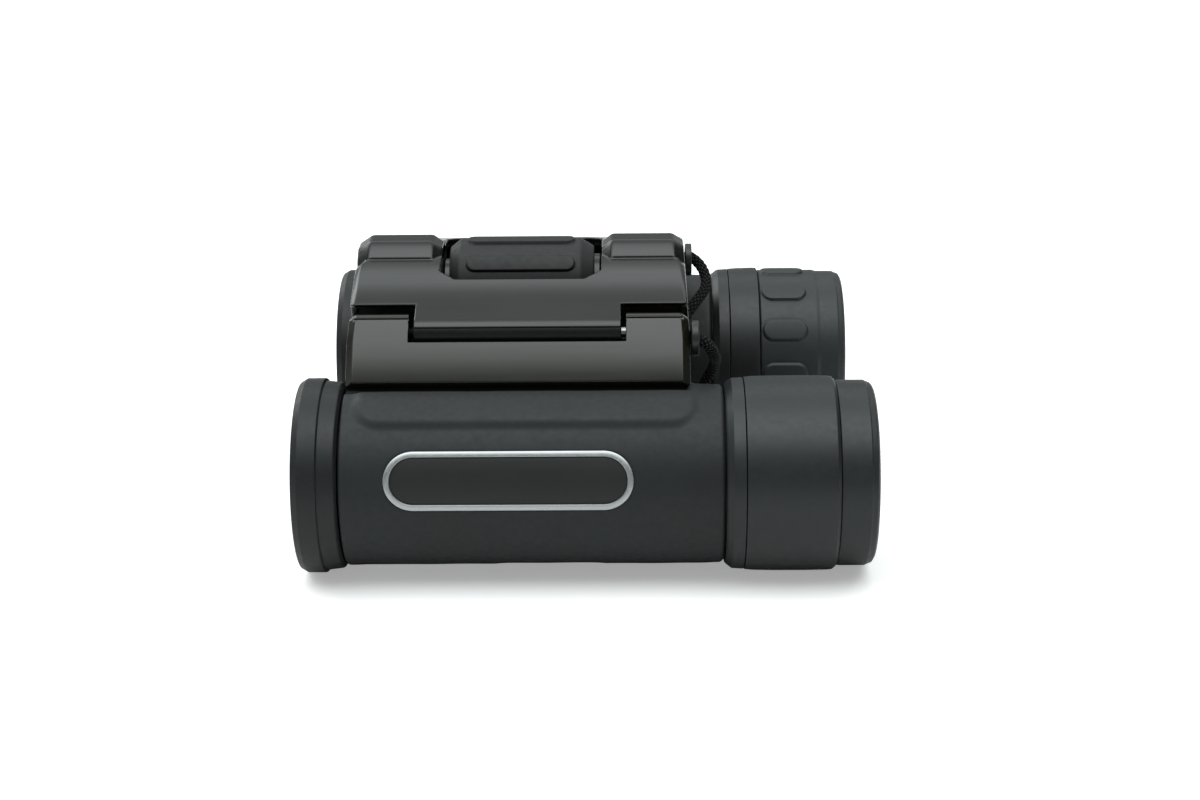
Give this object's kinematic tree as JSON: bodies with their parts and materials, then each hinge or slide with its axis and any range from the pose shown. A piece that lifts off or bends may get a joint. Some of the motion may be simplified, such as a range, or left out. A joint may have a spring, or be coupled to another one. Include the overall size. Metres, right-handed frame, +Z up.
{
  "type": "compact binoculars",
  "caption": "Compact folding roof-prism binoculars with a central bridge, hinged barrels, focus wheel, dioptre eyepiece and neck cord.",
  "frame": {"origin": "on the ground below the middle of the pair as it lies open, cord left out", "axes": "+X along the optical axes towards the eyepieces, +Y across towards the dioptre barrel, +Z up"},
  "size_m": [0.0968, 0.1307, 0.047],
  "materials": {
    "bridge_gloss": "moulded, satin to gloss, dark grey",
    "arm_gloss": "gloss dark grey paint over die-cast aluminium",
    "bridge_matt": "matt black moulding",
    "steel": "bright turned steel",
    "lug": "black paint",
    "brass": "turned",
    "cord": "black braided polyester",
    "tie": "soft black tie band",
    "wheel_rubber": "fine matt rubber with raised pads",
    "armour_rubber": "fine grained matt rubber",
    "rim_rubber": "smooth matt rubber",
    "housing": "matt black moulding",
    "mechanism": "matt black, against stray light",
    "tube": "black anodised",
    "lens_glass": "polished, coated",
    "prism_glass": "polished",
    "badge_silver": "satin silver",
    "badge_black": "black field, left bare"
  },
  "bodies": {
    "bridge": {"bridge_cover": "bridge_gloss", "bridge_base": "bridge_matt", "base_screws": "steel", "hinge_pin_left": "steel", "hinge_pin_right": "steel", "strap_lug_left": "lug", "strap_lug_right": "lug", "axle_bushes": "brass", "neck_cord_right": "cord", "neck_cord_left": "cord", "neck_cord_coil": "cord", "cord_tie": "tie"},
    "focus_wheel": {"focus_grip": "wheel_rubber", "focus_hub": "bridge_matt", "focus_screw": "steel", "screw_clip": "steel"},
    "carriage": {"focus_carriage": "mechanism", "focus_nut": "brass"},
    "barrel_left": {"hinge_arm_left": "arm_gloss", "barrel_tube_left": "tube", "armour_left": "armour_rubber", "objective_rim_left": "rim_rubber", "prism_cage_left": "mechanism", "entry_prism_left": "prism_glass", "roof_prism_left": "prism_glass", "field_stop_left": "mechanism", "eyepiece_housing_left": "housing", "ocular_cell_left": "mechanism", "field_lens_left": "lens_glass", "eye_lens_left": "lens_glass", "eyepiece_sleeve_left": "rim_rubber", "eyecup_left": "rim_rubber", "badge_frame_left": "badge_silver", "badge_plate_left": "badge_black"},
    "objective_left": {"objective_cell_left": "mechanism", "objective_crown_left": "lens_glass", "objective_flint_left": "lens_glass", "lens_ring_left": "mechanism"},
    "barrel_right": {"hinge_arm_right": "arm_gloss", "barrel_tube_right": "tube", "armour_right": "armour_rubber", "objective_rim_right": "rim_rubber", "prism_cage_right": "mechanism", "entry_prism_right": "prism_glass", "roof_prism_right": "prism_glass", "field_stop_right": "mechanism", "eyepiece_housing_right": "housing", "eyepiece_ring_right": "rim_rubber"},
    "objective_right": {"objective_cell_right": "mechanism", "objective_crown_right": "lens_glass", "objective_flint_right": "lens_glass", "lens_ring_right": "mechanism"},
    "diopter": {"diopter_ring": "mechanism", "diopter_grip": "rim_rubber"},
    "ocular_right": {"ocular_cell_right": "mechanism", "field_lens_right": "lens_glass", "eye_lens_right": "lens_glass"}
  },
  "joints": [
    {"name": "left_barrel_fold", "type": "hinge", "parent": "bridge", "child": "barrel_left", "pos_m": [0, -0.021, 0.0368], "axis": [1, 0, 0], "range_deg": [-17.5, 33]},
    {"name": "right_barrel_fold", "type": "hinge", "parent": "bridge", "child": "barrel_right", "pos_m": [0, 0.021, 0.0368], "axis": [-1, 0, 0], "range_deg": [-17.5, 33]},
    {"name": "focus_turn", "type": "hinge", "parent": "bridge", "child": "focus_wheel", "pos_m": [-0.0111, 0, 0.03875], "axis": [1, 0, 0], "range_deg": [-150, 150]},
    {"name": "carriage_slide", "type": "slide", "parent": "bridge", "child": "carriage", "axis": [1, 0, 0], "range_m": [-0.002, 0.002]},
    {"name": "left_objective_slide", "type": "slide", "parent": "barrel_left", "child": "objective_left", "axis": [1, 0, 0], "range_m": [-0.002, 0.002]},
    {"name": "right_objective_slide", "type": "slide", "parent": "barrel_right", "child": "objective_right", "axis": [1, 0, 0], "range_m": [-0.002, 0.002]},
    {"name": "diopter_turn", "type": "hinge", "parent": "barrel_right", "child": "diopter", "pos_m": [0.036, 0.03, 0.01575], "axis": [1, 0, 0], "range_deg": [-60, 60]},
    {"name": "ocular_slide", "type": "slide", "parent": "barrel_right", "child": "ocular_right", "axis": [1, 0, 0], "range_m": [-0.0012, 0.0012]}
  ],
  "couplings": [
    {"joint": "carriage_slide", "follows": "focus_turn", "m_per_rad": 0.00076},
    {"joint": "left_objective_slide", "follows": "focus_turn", "m_per_rad": 0.00076},
    {"joint": "right_objective_slide", "follows": "focus_turn", "m_per_rad": 0.00076},
    {"joint": "ocular_slide", "follows": "diopter_turn", "m_per_rad": 0.00114}
  ]
}
